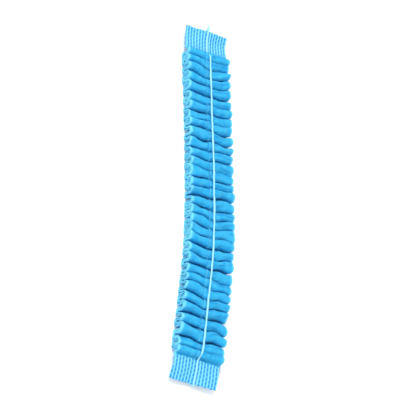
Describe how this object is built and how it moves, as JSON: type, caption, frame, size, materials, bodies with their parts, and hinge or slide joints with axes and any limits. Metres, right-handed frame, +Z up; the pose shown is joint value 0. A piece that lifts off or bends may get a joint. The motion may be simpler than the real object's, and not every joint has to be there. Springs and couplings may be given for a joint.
{
  "type": "disposable hairnet",
  "caption": "Disposable nonwoven hairnet of the clip cap kind, folded into a narrow gathered band as packed, with an elastic along each face and ribbed welds at both ends.",
  "frame": {"origin": "centre of the bounding box in plan, on the surface that the net lies on", "axes": "+Y along the folded band, +X across it, +Z up from the surface"},
  "size_m": [0.0442, 0.2022, 0.0072],
  "materials": {
    "nonwoven": "matt spunbond polypropylene, fine bonding dots",
    "pressed_nonwoven": "many plies welded and ribbed, slight gloss",
    "elastic": "matt, pale"
  },
  "bodies": {
    "root": {"crown": "nonwoven", "elastic_upper": "elastic", "elastic_lower": "elastic", "weld_tab_front": "pressed_nonwoven", "weld_tab_back": "pressed_nonwoven"}
  },
  "joints": []
}
